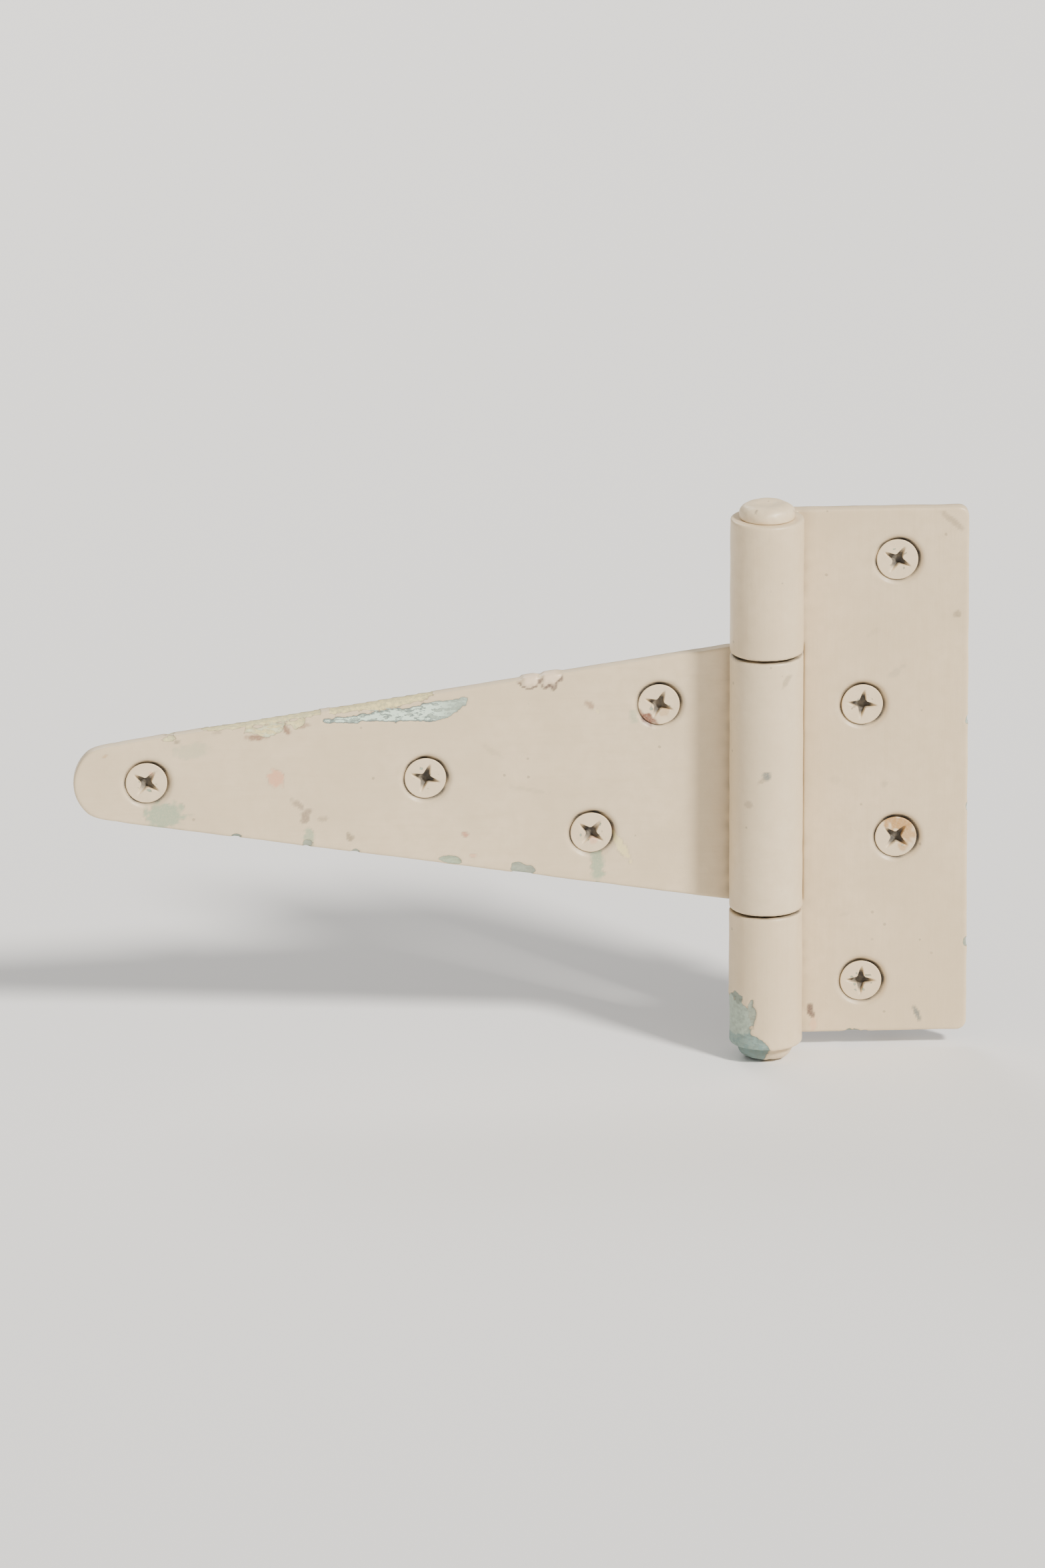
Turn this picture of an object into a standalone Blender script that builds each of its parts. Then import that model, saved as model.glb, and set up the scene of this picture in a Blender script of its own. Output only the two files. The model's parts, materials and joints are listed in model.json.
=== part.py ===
"""A pressed-steel tee strap hinge: a rectangular frame leaf and a tapered strap leaf, each rolled round
one pin, with four countersunk wood screws through each leaf.

Metres, +Z up. The mounting plane is Y = 0 and the front of the hinge looks along -Y. The origin is the
centre of the frame leaf's back face; the strap runs along -X. The pin stands along Z.
"""

from math import asin, cos, pi, radians, sin, tan

import bmesh
import bpy

MM = 0.001
GAP = 0.3 * MM  # clearance between neighbouring pieces

# Plate and barrel
PLATE = 3.1 * MM  # thickness of both leaves
BORE_RADIUS = 5.0 * MM
BARREL_RADIUS = BORE_RADIUS + PLATE  # the plate itself is rolled round the pin
ROLL_END = radians(34)  # how far past the leaf's side of the pin the roll runs before it meets the plate
ROLL_STEPS = 38

# Frame leaf
FRAME_HEIGHT = 121.0 * MM
FRAME_EDGE = 44.9 * MM  # pin axis to the leaf's outer edge
FRAME_CORNER = 1.0 * MM
NOTCH_EDGE = BARREL_RADIUS + 0.6 * MM  # pin axis to the plate beside the centre knuckle

# Strap leaf
STRAP_LENGTH = 152.4 * MM  # pin axis to the tip, a nominal six inches
KNUCKLE_HEIGHT = 58.4 * MM
KNUCKLE_GAP = 0.55 * MM  # between the centre knuckle and each end knuckle
TAPER_END = 147.2 * MM  # pin axis to where the straight sides meet the rounded tip
TIP_HALF_WIDTH = 8.3 * MM
TIP_CORNER = 1.5 * MM
TIP_STEPS = 14

# Pin
PIN_RADIUS = BORE_RADIUS - GAP
PIN_HEAD_RADIUS = 6.1 * MM
PIN_HEAD_HEIGHT = 3.0 * MM
PIN_HEAD_RIM = 0.7 * MM  # straight edge below the dome
PIN_SIDES = 48
DOME_STEPS = 6

# The pin axis in the part's frame
PIN_X = -(NOTCH_EDGE + FRAME_EDGE) / 2
PIN_Y = -BARREL_RADIUS

# Wood screws, number 10 by an inch
SCREW_LENGTH = 25.4 * MM
HEAD_RADIUS = 4.9 * MM
SHANK_RADIUS = 2.415 * MM
ROOT_RADIUS = 1.75 * MM
HEAD_ANGLE = radians(82)
THREAD_PITCH = 1.954 * MM
THREAD_RIDGES = 7
POINT_LENGTH = 5.0 * MM
SCREW_SIDES = 24
RECESS_REACH = 2.9 * MM  # centre of the head to the end of each slot of the cross
RECESS_WIDTH = 1.25 * MM
RECESS_DEPTH = 2.0 * MM
RECESS_TAPER = 0.5

# Screw holes
SINK_RADIUS = HEAD_RADIUS + GAP / cos(HEAD_ANGLE / 2)
HOLE_RADIUS = 2.8 * MM
HOLE_SIDES = 32

# Screw centres as (distance from the pin axis along X, height along Z, turn of the cross)
FRAME_SCREWS = [
    (29.2 * MM, 48.7 * MM, radians(25)),
    (21.6 * MM, 15.4 * MM, radians(10)),
    (29.2 * MM, -15.4 * MM, radians(40)),
    (21.6 * MM, -48.7 * MM, radians(5)),
]
STRAP_SCREWS = [
    (-136.3 * MM, 0.0, radians(35)),
    (-74.8 * MM, 0.0, radians(20)),
    (-23.3 * MM, 16.2 * MM, radians(25)),
    (-38.2 * MM, -13.2 * MM, radians(40)),
]

MARGIN = 2 * MM  # how far cutters and blanks run past the faces they trim
SLAB_DEPTH = BARREL_RADIUS + MARGIN
SMOOTH_ANGLE = radians(40)


def clear_scene():
    for obj in list(bpy.data.objects):
        bpy.data.objects.remove(obj)


def make_material(name, colour, roughness, metallic):
    material = bpy.data.materials.new(name)
    material.use_nodes = True
    shader = material.node_tree.nodes["Principled BSDF"]
    shader.inputs["Base Color"].default_value = (*colour, 1.0)
    shader.inputs["Roughness"].default_value = roughness
    shader.inputs["Metallic"].default_value = metallic
    return material


def add_object(name, mesh, material):
    obj = bpy.data.objects.new(name, mesh)
    bpy.context.scene.collection.objects.link(obj)
    if material is not None:
        mesh.materials.append(material)
    return obj


def finish_mesh(bm, name):
    bmesh.ops.recalc_face_normals(bm, faces=bm.faces)
    mesh = bpy.data.meshes.new(name)
    bm.to_mesh(mesh)
    bm.free()
    return mesh


def prism(outline, low, high, name):
    """A closed solid from a flat outline of (x, y) points, standing from low to high along Z."""
    bm = bmesh.new()
    face = bm.faces.new([bm.verts.new((x, y, low)) for x, y in outline])
    top = bmesh.ops.extrude_face_region(bm, geom=[face])["geom"]
    top_verts = [v for v in top if isinstance(v, bmesh.types.BMVert)]
    bmesh.ops.translate(bm, verts=top_verts, vec=(0, 0, high - low))
    return finish_mesh(bm, name)


def turned(profile, sides, name):
    """A closed solid of revolution about Z from (radius, z) points; the two end points lie on the axis."""
    bm = bmesh.new()
    rings = []
    for radius, z in profile[1:-1]:
        turns = [2 * pi * i / sides for i in range(sides)]
        rings.append([bm.verts.new((radius * cos(a), radius * sin(a), z)) for a in turns])
    for ring, following in zip(rings, rings[1:]):
        for i in range(sides):
            j = (i + 1) % sides
            bm.faces.new((ring[i], ring[j], following[j], following[i]))
    for ring, (_, z) in ((rings[0], profile[0]), (rings[-1], profile[-1])):
        centre = bm.verts.new((0, 0, z))
        for i in range(sides):
            bm.faces.new((ring[i], ring[(i + 1) % sides], centre))
    return finish_mesh(bm, name)


def cutter(name, mesh):
    obj = add_object(name, mesh, None)
    obj.hide_render = True
    obj.display_type = "WIRE"
    return obj


def boolean(obj, other, operation):
    modifier = obj.modifiers.new(other.name, "BOOLEAN")
    modifier.object = other
    modifier.operation = operation
    modifier.solver = "EXACT"


def smooth(mesh):
    mesh.shade_smooth()
    mesh.set_sharp_from_angle(angle=SMOOTH_ANGLE)


def apply_cuts(obj, name, *cutters):
    """Applies the object's Booleans, removes their cutters and shades the cut mesh."""
    graph = bpy.context.evaluated_depsgraph_get()
    mesh = bpy.data.meshes.new_from_object(obj.evaluated_get(graph))
    mesh.name = name
    obj.modifiers.clear()
    obj.data = mesh
    for other in cutters:
        bpy.data.objects.remove(other)
    smooth(mesh)
    return mesh


def arc(centre, radius, start, end, steps):
    """Points on an arc about centre, from the start angle to the end angle, both included."""
    turns = [start + (end - start) * i / steps for i in range(steps + 1)]
    return [(centre[0] + radius * cos(a), centre[1] + radius * sin(a)) for a in turns]


def rounded(corners, steps=4):
    """An outline whose corners, given as (x, y, radius), are cut back to short arcs."""
    points = []
    for i, (x, y, radius) in enumerate(corners):
        if radius == 0:
            points.append((x, y))
            continue
        before, after = corners[i - 1], corners[(i + 1) % len(corners)]
        ends = []
        for nx, ny, _ in (before, after):
            length = ((nx - x) ** 2 + (ny - y) ** 2) ** 0.5
            ends.append((x + (nx - x) * radius / length, y + (ny - y) * radius / length))
        for k in range(steps + 1):
            t = k / steps
            near, far = (1 - t) ** 2, t**2
            middle = 2 * t * (1 - t)
            px = near * ends[0][0] + middle * x + far * ends[1][0]
            py = near * ends[0][1] + middle * y + far * ends[1][1]
            points.append((px, py))
    return points


def rolled_plate(side, reach, half_height, name):
    """A flat plate rolled into a barrel, as a blank standing along Z with the pin axis at its origin.

    side is 1 where the plate runs along +X and -1 where it runs along -X. The plate's back is tangent to
    the barrel; the roll starts there, goes round the far side and the front, and stops short of the plate.
    """
    back, end = pi / 2, 2 * pi + ROLL_END
    outer = arc((0, 0), BARREL_RADIUS, back, end, ROLL_STEPS)
    inner = arc((0, 0), BORE_RADIUS, end, back, ROLL_STEPS)
    outline = [(reach, BARREL_RADIUS), *outer, *inner, (reach, BORE_RADIUS)]
    outline = [(side * x, y) for x, y in outline]
    return prism(outline, -half_height, half_height, name)


def frame_outline():
    half = FRAME_HEIGHT / 2
    notch = KNUCKLE_HEIGHT / 2 + KNUCKLE_GAP
    far = -BARREL_RADIUS - MARGIN
    corners = [
        (far, -half, 0),
        (FRAME_EDGE, -half, FRAME_CORNER),
        (FRAME_EDGE, half, FRAME_CORNER),
        (far, half, 0),
        (far, notch, 0),
        (NOTCH_EDGE, notch, 0),
        (NOTCH_EDGE, -notch, 0),
        (far, -notch, 0),
    ]
    return rounded(corners)


def strap_outline():
    half = KNUCKLE_HEIGHT / 2
    sagitta = STRAP_LENGTH - TAPER_END
    radius = (TIP_HALF_WIDTH**2 + sagitta**2) / (2 * sagitta)
    spread = asin(TIP_HALF_WIDTH / radius)
    tip = arc((radius - STRAP_LENGTH, 0), radius, pi - spread, pi + spread, TIP_STEPS)
    corners = [
        (BARREL_RADIUS + MARGIN, half, 0),
        (-BARREL_RADIUS, half, 0),
        (*tip[0], TIP_CORNER),
        *[(x, z, 0) for x, z in tip[2:-2]],
        (*tip[-1], TIP_CORNER),
        (-BARREL_RADIUS, -half, 0),
        (BARREL_RADIUS + MARGIN, -half, 0),
    ]
    return rounded(corners)


def hole_mesh():
    """A screw hole with its countersink, drawn with the plate's front face at Z = 0."""
    sink_depth = (SINK_RADIUS - HOLE_RADIUS) / tan(HEAD_ANGLE / 2)
    bottom = -(PLATE + MARGIN)
    profile = [
        (0, MARGIN),
        (SINK_RADIUS, MARGIN),
        (SINK_RADIUS, 0),
        (HOLE_RADIUS, -sink_depth),
        (HOLE_RADIUS, bottom),
        (0, bottom),
    ]
    return turned(profile, HOLE_SIDES, "screw_hole")


def put_on_front(obj, parent, x, z, turn=0.0):
    """Stands a turned piece on a leaf's front face, its own +Z towards the front."""
    obj.parent = parent
    obj.location = (x, BORE_RADIUS, z)
    obj.rotation_euler = (pi / 2, -turn, 0)


def make_leaf(name, side, reach, height, outline, screws, material):
    """A rolled plate trimmed to its outline and drilled; its origin is on the pin axis."""
    blank = rolled_plate(side, reach + MARGIN, height / 2 + MARGIN, name)
    leaf = add_object(name, blank, material)
    slab = cutter(name + "_outline", prism(outline, -SLAB_DEPTH, SLAB_DEPTH, name + "_outline"))
    slab.parent = leaf
    slab.rotation_euler = (pi / 2, 0, 0)
    boolean(leaf, slab, "INTERSECT")
    drill = hole_mesh()
    holes = []
    for i, (x, z, _) in enumerate(screws, 1):
        hole = cutter(f"{name}_hole_{i}", drill)
        put_on_front(hole, leaf, x, z)
        boolean(leaf, hole, "DIFFERENCE")
        holes.append(hole)
    apply_cuts(leaf, name, slab, *holes)
    return leaf


def cross_outline():
    """The twelve corners of the driver recess seen from above."""
    half = RECESS_WIDTH / 2
    arm = [(RECESS_REACH, -half), (RECESS_REACH, half), (half, half)]
    quarters = [(cos(k * pi / 2), sin(k * pi / 2)) for k in range(4)]
    return [(x * c - y * s, x * s + y * c) for c, s in quarters for x, y in arm]


def recess_mesh():
    mesh = prism(cross_outline(), -RECESS_DEPTH, MARGIN, "recess")
    for vertex in mesh.vertices:
        if vertex.co.z < 0:
            vertex.co.x *= RECESS_TAPER
            vertex.co.y *= RECESS_TAPER
    return mesh


def screw_profile():
    """The screw's half section from the head down: head, plain shank, thread ridges and point."""
    head_height = (HEAD_RADIUS - SHANK_RADIUS) / tan(HEAD_ANGLE / 2)
    thread_top = -SCREW_LENGTH + POINT_LENGTH + THREAD_RIDGES * THREAD_PITCH
    profile = [(0, 0), (HEAD_RADIUS, 0), (SHANK_RADIUS, -head_height), (SHANK_RADIUS, thread_top)]
    for i in range(THREAD_RIDGES):
        top = thread_top - i * THREAD_PITCH
        profile.append((ROOT_RADIUS, top - 0.2 * THREAD_PITCH))
        profile.append((SHANK_RADIUS, top - 0.7 * THREAD_PITCH))
    profile.append((ROOT_RADIUS, -SCREW_LENGTH + POINT_LENGTH))
    profile.append((0, -SCREW_LENGTH))
    return profile


def screw_mesh(material):
    """One wood screw with its driver recess cut, shared by all eight."""
    blank = add_object("screw_blank", turned(screw_profile(), SCREW_SIDES, "screw_blank"), material)
    recess = cutter("recess", recess_mesh())
    boolean(blank, recess, "DIFFERENCE")
    mesh = apply_cuts(blank, "wood_screw", recess)
    bpy.data.objects.remove(blank)
    return mesh


def make_screws(prefix, mesh, screws, parent):
    for i, (x, z, turn) in enumerate(screws, 1):
        screw = bpy.data.objects.new(f"{prefix}_screw_{i}", mesh)
        bpy.context.scene.collection.objects.link(screw)
        put_on_front(screw, parent, x, z, turn)


def pin_profile():
    """The pin's half section from the top down, with a domed head past each end knuckle."""
    shoulder = FRAME_HEIGHT / 2 + GAP
    rise = PIN_HEAD_HEIGHT - PIN_HEAD_RIM
    turns = [pi / 2 * i / DOME_STEPS for i in range(DOME_STEPS + 1)]
    dome = [(PIN_HEAD_RADIUS * sin(a), shoulder + PIN_HEAD_RIM + rise * cos(a)) for a in turns]
    top = [*dome, (PIN_HEAD_RADIUS, shoulder), (PIN_RADIUS, shoulder)]
    return top + [(radius, -z) for radius, z in reversed(top)]


def main():
    clear_scene()
    frame_paint = make_material("frame_paint", (0.70, 0.62, 0.53), 0.45, 0.0)
    strap_paint = make_material("strap_paint", (0.73, 0.65, 0.55), 0.45, 0.0)
    screw_steel = make_material("screw_steel", (0.66, 0.60, 0.52), 0.5, 0.2)
    pin_steel = make_material("pin_steel", (0.45, 0.42, 0.38), 0.45, 0.4)

    axis = bpy.data.objects.new("swing_axis", None)
    axis.location = (PIN_X, PIN_Y, 0)
    bpy.context.scene.collection.objects.link(axis)

    frame_leaf = make_leaf(
        "frame_leaf", 1, FRAME_EDGE, FRAME_HEIGHT, frame_outline(), FRAME_SCREWS, frame_paint
    )
    strap_leaf = make_leaf(
        "strap_leaf", -1, STRAP_LENGTH, KNUCKLE_HEIGHT, strap_outline(), STRAP_SCREWS, strap_paint
    )
    pin = add_object("hinge_pin", turned(pin_profile(), PIN_SIDES, "hinge_pin"), pin_steel)
    smooth(pin.data)
    for piece in (frame_leaf, strap_leaf, pin):
        piece.parent = axis

    screw = screw_mesh(screw_steel)
    make_screws("frame", screw, FRAME_SCREWS, frame_leaf)
    make_screws("strap", screw, STRAP_SCREWS, strap_leaf)


main()
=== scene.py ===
"""Looks for the painted tee hinge: worn cream paint over pressed steel, wood screws and the pin."""

import json
from math import atan, cos, pi, radians, sin, sqrt, tan

import bmesh
import bpy
import numpy as np
from mathutils import Matrix, Vector


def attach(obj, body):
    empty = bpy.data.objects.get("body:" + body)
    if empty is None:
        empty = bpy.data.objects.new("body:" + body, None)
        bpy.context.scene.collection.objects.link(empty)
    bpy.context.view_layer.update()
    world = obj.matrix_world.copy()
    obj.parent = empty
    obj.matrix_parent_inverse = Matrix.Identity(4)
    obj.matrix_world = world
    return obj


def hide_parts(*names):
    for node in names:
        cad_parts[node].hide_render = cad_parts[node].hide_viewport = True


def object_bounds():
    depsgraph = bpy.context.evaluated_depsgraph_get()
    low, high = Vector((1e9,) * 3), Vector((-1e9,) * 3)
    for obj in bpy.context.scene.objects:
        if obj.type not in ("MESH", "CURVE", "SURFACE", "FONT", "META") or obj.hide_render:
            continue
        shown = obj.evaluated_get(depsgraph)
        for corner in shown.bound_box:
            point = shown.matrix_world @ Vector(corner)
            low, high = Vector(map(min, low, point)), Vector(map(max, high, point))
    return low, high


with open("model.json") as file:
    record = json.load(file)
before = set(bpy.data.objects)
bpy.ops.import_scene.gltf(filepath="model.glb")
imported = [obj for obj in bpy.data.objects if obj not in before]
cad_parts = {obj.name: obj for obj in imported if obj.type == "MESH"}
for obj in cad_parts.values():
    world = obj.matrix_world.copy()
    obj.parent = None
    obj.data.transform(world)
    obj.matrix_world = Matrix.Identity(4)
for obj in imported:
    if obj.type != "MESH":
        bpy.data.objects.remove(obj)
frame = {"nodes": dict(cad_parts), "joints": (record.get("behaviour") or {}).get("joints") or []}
CAD_BOX = [list(corner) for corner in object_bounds()]
NODES = frame["nodes"]

MM = 0.001
PIN = np.array(frame["joints"][0]["pos_m"])  # the pin axis at mid-height

# Sizes of the design in millimetres, from the pin axis; y grows towards the back, as in the frame
PLATE = 3.1
BORE = 5.0
BARREL = BORE + PLATE
ROLL_END = 270 + 34  # degrees the plate is rolled through
ROLL_END_EDGE = 0.35  # radius of the edges at the rolled end
SEAM_FILLET = 0.55  # paint that fills the seam where the roll meets the plate
PLATE_EDGE = 0.5  # radius of the plate's edges
FRAME_HALF = 60.5
FRAME_EDGE = 44.9
FRAME_CORNER = 2.2
SEAM_X, SEAM_Y = 7.9, 4.4  # the crease where the plate's face meets the barrel
NOTCH_EDGE = BARREL + 0.32  # paint built up on the notch narrows the CAD gap
KNUCKLE_HALF = 29.2
KNUCKLE_GAP = 0.55
STRAP_LENGTH = 152.4
TAPER_END = 147.2
TIP_HALF = 8.3
TIP_RADIUS = (TIP_HALF**2 + (STRAP_LENGTH - TAPER_END) ** 2) / (2 * (STRAP_LENGTH - TAPER_END))
TIP_REACH = 12  # how far from the round tip's centre its outline still counts
TIP_OPENING = 0.35  # how fast that outline opens out past the centre
TIP_BLEND = 1.2  # radius between the tip and the strap's sides
TAPER = (KNUCKLE_HALF - TIP_HALF) / (TAPER_END - BARREL)
LEAF_VOXEL = 0.43  # size of the leaves' mesh faces
TURNED_SIDES = 128

HEAD_RADIUS = 4.85
HEAD_ANGLE = radians(41)  # half the 82 degree head
HEAD_SLOPE = tan(HEAD_ANGLE)
HEAD_BEND = 0.22  # radius of the head's rim
SHANK_RADIUS = 2.415
ROOT_RADIUS = 1.75
SINK_RADIUS = 5.7
SUNK = 0.38  # the heads sit a little below the leaf's face
HOLE_RADIUS = 2.8
HOLE_EDGE = 0.3
POOLED_PAINT = 0.17  # mean thickness of the paint in a countersink
POOLED_PAINT_TILT = 0.14  # how much thicker it is at the lower left
SCREW_LENGTH = 25.0
THREAD_TOP = 6.7
THREAD_PITCH = 1.954
POINT_LENGTH = 5.0
RECESS_ARM = 0.98  # half width an arm of the recess would have at the centre
RECESS_TAPER = 0.23
RECESS_CENTRE = 1.25
RECESS_DEPTH = 2.0
RECESS_RISE = 0.72  # how fast the recess's floor rises towards the ends of the arms

PIN_RADIUS = 4.7
PIN_HEAD_RADIUS = 6.1
PIN_HEAD_HEIGHT = 3.15
PIN_HEAD_FLAT = 3.6
PIN_SKIRT = 0.55  # height of the head's straight side
PIN_BULGE = 58  # height of the point that the head's unevenness bulges away from

FAR_INSIDE = -9.0  # a distance that leaves the outline to others
NO_WEAR = -3.0  # a wear value that shows nothing

# name: (x, z, turn of the cross in degrees, tilt across and up in degrees)
SCREWS = {
    "frame_screw_1": (29.2, 48.7, 30, 0.6, -0.9),
    "frame_screw_2": (21.6, 15.4, 8, 3.2, 0.8),
    "frame_screw_3": (29.2, -15.4, 40, 0.8, 0.9),
    "frame_screw_4": (21.6, -48.7, 3, 1.2, 0.9),
    "strap_screw_1": (-136.3, 0.0, 35, -0.4, 0.7),
    "strap_screw_2": (-74.8, 0.0, 18, 1.3, 0.4),
    "strap_screw_3": (-23.3, 16.2, 22, -0.9, -0.9),
    "strap_screw_4": (-38.2, -13.2, 38, 1.0, 1.2),
}
# how much of one pair of recess arms is filled with paint
RECESS_FILL = {
    "strap_screw_1": 0.3,
    "strap_screw_4": 0.3,
    "frame_screw_1": 0.15,
    "strap_screw_3": 0.1,
}
USUAL_FILL = 0.05


# ---------------------------------------------------------------- distances (arrays of millimetres)


def round_and(a, b, r):
    """Where two solids meet in an intersection, its edge rounded to radius r."""
    corner = np.hypot(np.maximum(a + r, 0), np.maximum(b + r, 0))
    return np.minimum(np.maximum(a, b), -r) + corner


def round_or(a, b, r):
    """Two solids joined, the inside corner between them filled to radius r."""
    corner = np.hypot(np.maximum(r - a, 0), np.maximum(r - b, 0))
    return np.maximum(np.minimum(a, b), r) - corner


def rolled_profile(x, y):
    """Distance to the plate and its roll seen along the pin; the plate runs towards +x."""
    middle, half = BARREL - PLATE / 2, PLATE / 2
    turn = np.arctan2(-x, y) % (2 * pi)
    end = radians(ROLL_END)
    past_end = -x * cos(end) - y * sin(end)
    past_end = np.where(turn > pi, past_end, FAR_INSIDE)
    roll = round_and(np.abs(np.hypot(x, y) - middle) - half, past_end, ROLL_END_EDGE)
    band = np.abs(y - middle) - half
    plate = np.where(x >= 0, band, np.hypot(x, np.maximum(band, 0)))
    filled = round_or(roll, plate, SEAM_FILLET)  # only the seam in front, past x = 3, is filled
    return np.where(x > 3, filled, np.minimum(roll, plate))


def frame_outline(x, z):
    """The frame leaf seen from the front, with the notch that the centre knuckle turns in."""
    outside = round_and(x - FRAME_EDGE, np.abs(z) - FRAME_HALF, FRAME_CORNER)
    notch = np.minimum(NOTCH_EDGE - x, KNUCKLE_HALF + KNUCKLE_GAP - np.abs(z))
    return np.maximum(outside, notch)


def strap_outline(x, z):
    """The strap seen from the front: straight at the knuckle, then tapered to a round tip."""
    half = KNUCKLE_HALF + TAPER * (x + BARREL)
    side = np.maximum((np.abs(z) - half) / np.hypot(1, TAPER), np.abs(z) - KNUCKLE_HALF)
    beyond = x + STRAP_LENGTH - TIP_RADIUS
    tip = np.where(beyond < 0, np.hypot(beyond, z), np.abs(z) - TIP_OPENING * beyond) - TIP_RADIUS
    tip = np.where(x > TIP_RADIUS - STRAP_LENGTH + TIP_REACH, FAR_INSIDE, tip)
    return round_and(side, tip, TIP_BLEND)


def hole(p, x, z):
    """Distance to a countersunk hole, negative inside it. Paint has pooled in it, mostly at its
    lower left, so a dark gap is left open at the upper right of the head."""
    radius = np.hypot(p[:, 0] - x, p[:, 2] - z)
    lower_left = (x - p[:, 0] + z - p[:, 2]) / (sqrt(2) * np.maximum(radius, 1))
    depth = p[:, 1] - BORE
    below_rim = np.clip((depth - 0.45) / 0.35, 0, 1)
    paint = (POOLED_PAINT + POOLED_PAINT_TILT * lower_left) * below_rim
    cone = (radius - SINK_RADIUS + HEAD_SLOPE * depth + paint) * cos(HEAD_ANGLE)
    return np.minimum(cone, radius - HOLE_RADIUS)


def leaf_shape(kind, side, outline):
    """A leaf's distance function; side is 1 where its plate runs towards +x."""
    centres = [place[:2] for name, place in SCREWS.items() if name.startswith(kind)]

    def shape(p):
        solid = rolled_profile(side * p[:, 0], p[:, 1])
        solid = round_and(solid, outline(p[:, 0], p[:, 2]), PLATE_EDGE)
        for x, z in centres:
            solid = round_and(solid, -hole(p, x, z), HOLE_EDGE)
        return solid

    return shape


# ---------------------------------------------------------------- meshes


def slopes(shape, p, step=0.01):
    """The distance function's gradient at each point."""
    columns = []
    for axis in range(3):
        offset = np.zeros(3)
        offset[axis] = step
        columns.append((shape(p + offset) - shape(p - offset)) / (2 * step))
    return np.stack(columns, 1)


def settle(shape, p, rounds=2, reach=0.6):
    """Moves points onto the surface where the distance is zero."""
    for _ in range(rounds):
        g = slopes(shape, p)
        d = np.clip(shape(p), -reach, reach)
        p = p - g * (d / np.maximum((g * g).sum(1), 0.05))[:, None]
    return p


def even_out(p, edges, share=0.5):
    """Each point moves part of the way to the mean of its neighbours."""
    count = np.bincount(edges.ravel(), minlength=len(p))
    mean = np.empty_like(p)
    for axis in range(3):
        near = np.bincount(edges[:, 0], p[edges[:, 1], axis], len(p))
        mean[:, axis] = near + np.bincount(edges[:, 1], p[edges[:, 0], axis], len(p))
    return p + share * (mean / count[:, None] - p)


def remeshed(mesh, voxel):
    """A new mesh of even quads, about one voxel across, over a closed mesh in metres."""
    source = bpy.data.objects.new("remesh_source", mesh)
    bpy.context.scene.collection.objects.link(source)
    modifier = source.modifiers.new("voxels", "REMESH")
    modifier.mode = "VOXEL"
    modifier.voxel_size = voxel * MM
    modifier.use_smooth_shade = True
    graph = bpy.context.evaluated_depsgraph_get()
    result = bpy.data.meshes.new_from_object(source.evaluated_get(graph))
    bpy.data.objects.remove(source)
    return result


def get_points(mesh):
    """A mesh's points as an array with a row for each."""
    flat = np.empty(len(mesh.vertices) * 3)
    mesh.vertices.foreach_get("co", flat)
    return flat.reshape(-1, 3)


def set_points(mesh, p):
    """Moves a mesh's points to the rows of an array."""
    mesh.vertices.foreach_set("co", p.astype(np.float32).ravel())
    mesh.update()


def get_edges(mesh):
    """The two point numbers of each edge."""
    flat = np.empty(len(mesh.edges) * 2, np.int32)
    mesh.edges.foreach_get("vertices", flat)
    return flat.reshape(-1, 2)


def fitted(mesh, shape, rounds=4):
    """A remeshed body's points, evened out and brought onto the exact shape, in millimetres."""
    p, edges = get_points(mesh), get_edges(mesh)
    for _ in range(rounds):
        p = settle(shape, even_out(p, edges), 1)
    return settle(shape, p, 2)


def welded_copy(node):
    """The CAD node's mesh with its split corners joined."""
    bm = bmesh.new()
    bm.from_mesh(NODES[node].data)
    bmesh.ops.remove_doubles(bm, verts=bm.verts, dist=0.001 * MM)
    mesh = bpy.data.meshes.new(node + "_source")
    bm.to_mesh(mesh)
    bm.free()
    return mesh


# ---------------------------------------------------------------- wear and painted shade, as values at each point


def srgb(code):
    """A six digit hex colour as linear red, green and blue."""
    parts = [int(code[i : i + 2], 16) / 255 for i in (0, 2, 4)]
    return np.array([c / 12.92 if c < 0.04045 else ((c + 0.055) / 1.055) ** 2.4 for c in parts])


CREAM_STRAP = srgb("E7D2AE")
CREAM_FRAME = srgb("E4CEA9")
CREAM_FASTENER = CREAM_STRAP * 1.04


def beside_cream(code):
    """The base colour that ends up looking like this code where the paint ends up as D7CBBC."""
    ratio = srgb(code) / srgb("D7CBBC")
    return CREAM_STRAP * ratio ** (1.35 + 0.35 * np.minimum(ratio, 1))


TEAL = beside_cream("A9ADA6")
PALE_TEAL = beside_cream("B1B9AB")
DEEP_TEAL = beside_cream("929A97")
BLUE_TEAL = beside_cream("8FA4A8")
ICE = beside_cream("B4BEBA")
ICE_WHITE = beside_cream("D2DDD9")
OLD_CREAM = beside_cream("DED4B4")
LIFTED = beside_cream("E3D4C8")
PINK = beside_cream("D8B3A0")
RED = beside_cream("BC8276")
RUST = beside_cream("BC9A66")
RED_BROWN = beside_cream("8A5B4C")
SOOT = beside_cream("8C8377")
SLATE = beside_cream("77838B")
PLUM = beside_cream("84736F")
# painted shade, with some dirt, that darkens creases, gaps and recesses
DIRT_AND_SHADE = srgb("474440")
STEEL_DARK = srgb("585757")
STEEL_LIGHT = srgb("7F7E7C")
RUST_DARK = srgb("3F2B22")
RUST_LIGHT = srgb("75503A")

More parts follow.
